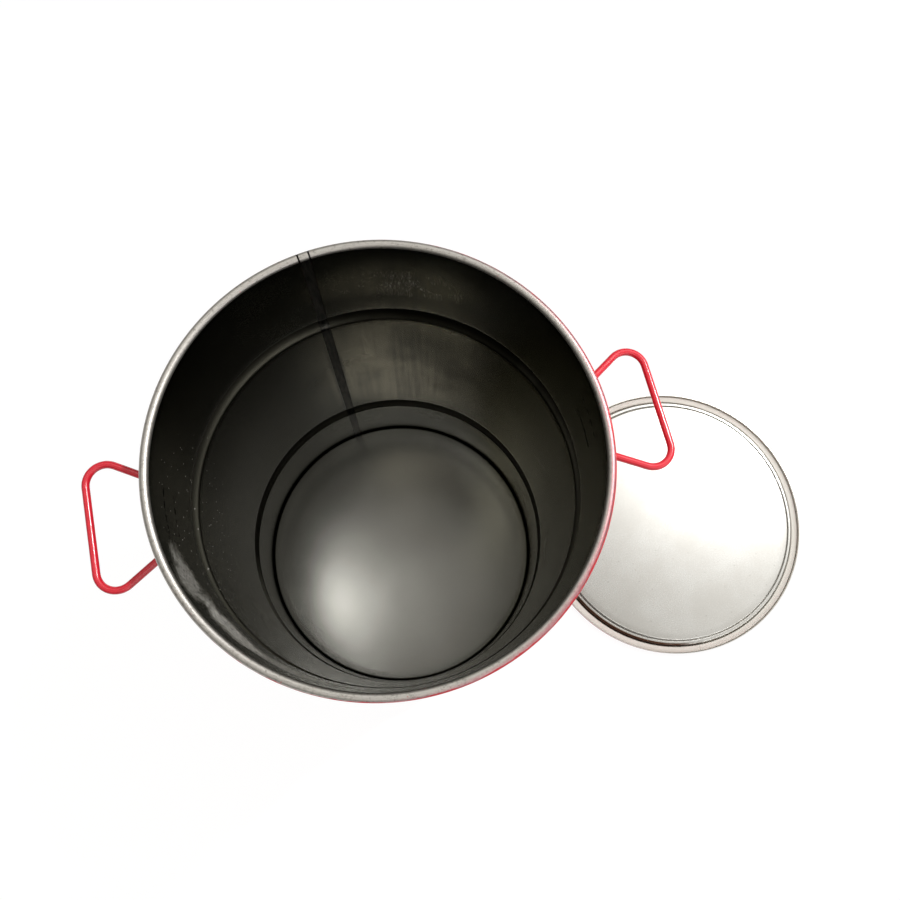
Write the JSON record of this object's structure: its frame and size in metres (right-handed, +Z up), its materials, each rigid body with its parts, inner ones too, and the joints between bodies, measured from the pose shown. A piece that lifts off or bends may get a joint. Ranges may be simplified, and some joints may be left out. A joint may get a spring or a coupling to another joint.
{
  "type": "open-head steel drum",
  "caption": "Open-head steel drum with a curled rim, rolling hoops, a seamed bottom, swinging wire handles and its gasketed lid lying beside it.",
  "frame": {"origin": "on the drum's axis at floor level, at the foot of the chime", "axes": "+Z up along the drum's axis, +X towards the right handle, +Y towards the side seam"},
  "size_m": [0.8712, 0.4465, 0.58],
  "materials": {
    "red_lacquer": "gloss lacquer outside, bare drawn steel inside",
    "seam_steel": "heat-tinted weld",
    "bare_steel": "bare cold-rolled sheet inside, red lacquer outside",
    "sealant": "dried sealing compound",
    "handle_red": "gloss red paint",
    "weld_steel": "spot weld",
    "lid_steel": "bright satin sheet inside, red lacquer outside",
    "gasket_rubber": "cream rubber strip"
  },
  "bodies": {
    "drum": {"body_shell": "red_lacquer", "side_seam_weld": "seam_steel", "bottom_head": "bare_steel", "chime_sealant": "sealant", "handle_bracket_right": "handle_red", "handle_bracket_left": "handle_red", "bracket_welds_right": "weld_steel", "bracket_welds_left": "weld_steel"},
    "handle_right": {"handle_right": "handle_red"},
    "handle_left": {"handle_left": "handle_red"},
    "lid": {"lid": "lid_steel", "lid_gasket": "gasket_rubber"}
  },
  "joints": [
    {"name": "handle_right_swing", "type": "hinge", "parent": "drum", "child": "handle_right", "pos_m": [0.19495, 0.00442, 0.523], "axis": [0.0227, -0.9997, 0], "range_deg": [-90, 82]},
    {"name": "handle_left_swing", "type": "hinge", "parent": "drum", "child": "handle_left", "pos_m": [-0.19495, 0.00442, 0.523], "axis": [0.0227, 0.9997, 0], "range_deg": [-90, 82]},
    {"name": "lid_lift", "type": "slide", "parent": "drum", "child": "lid", "axis": [0, 0, 1], "range_m": [0, 0.3]}
  ]
}
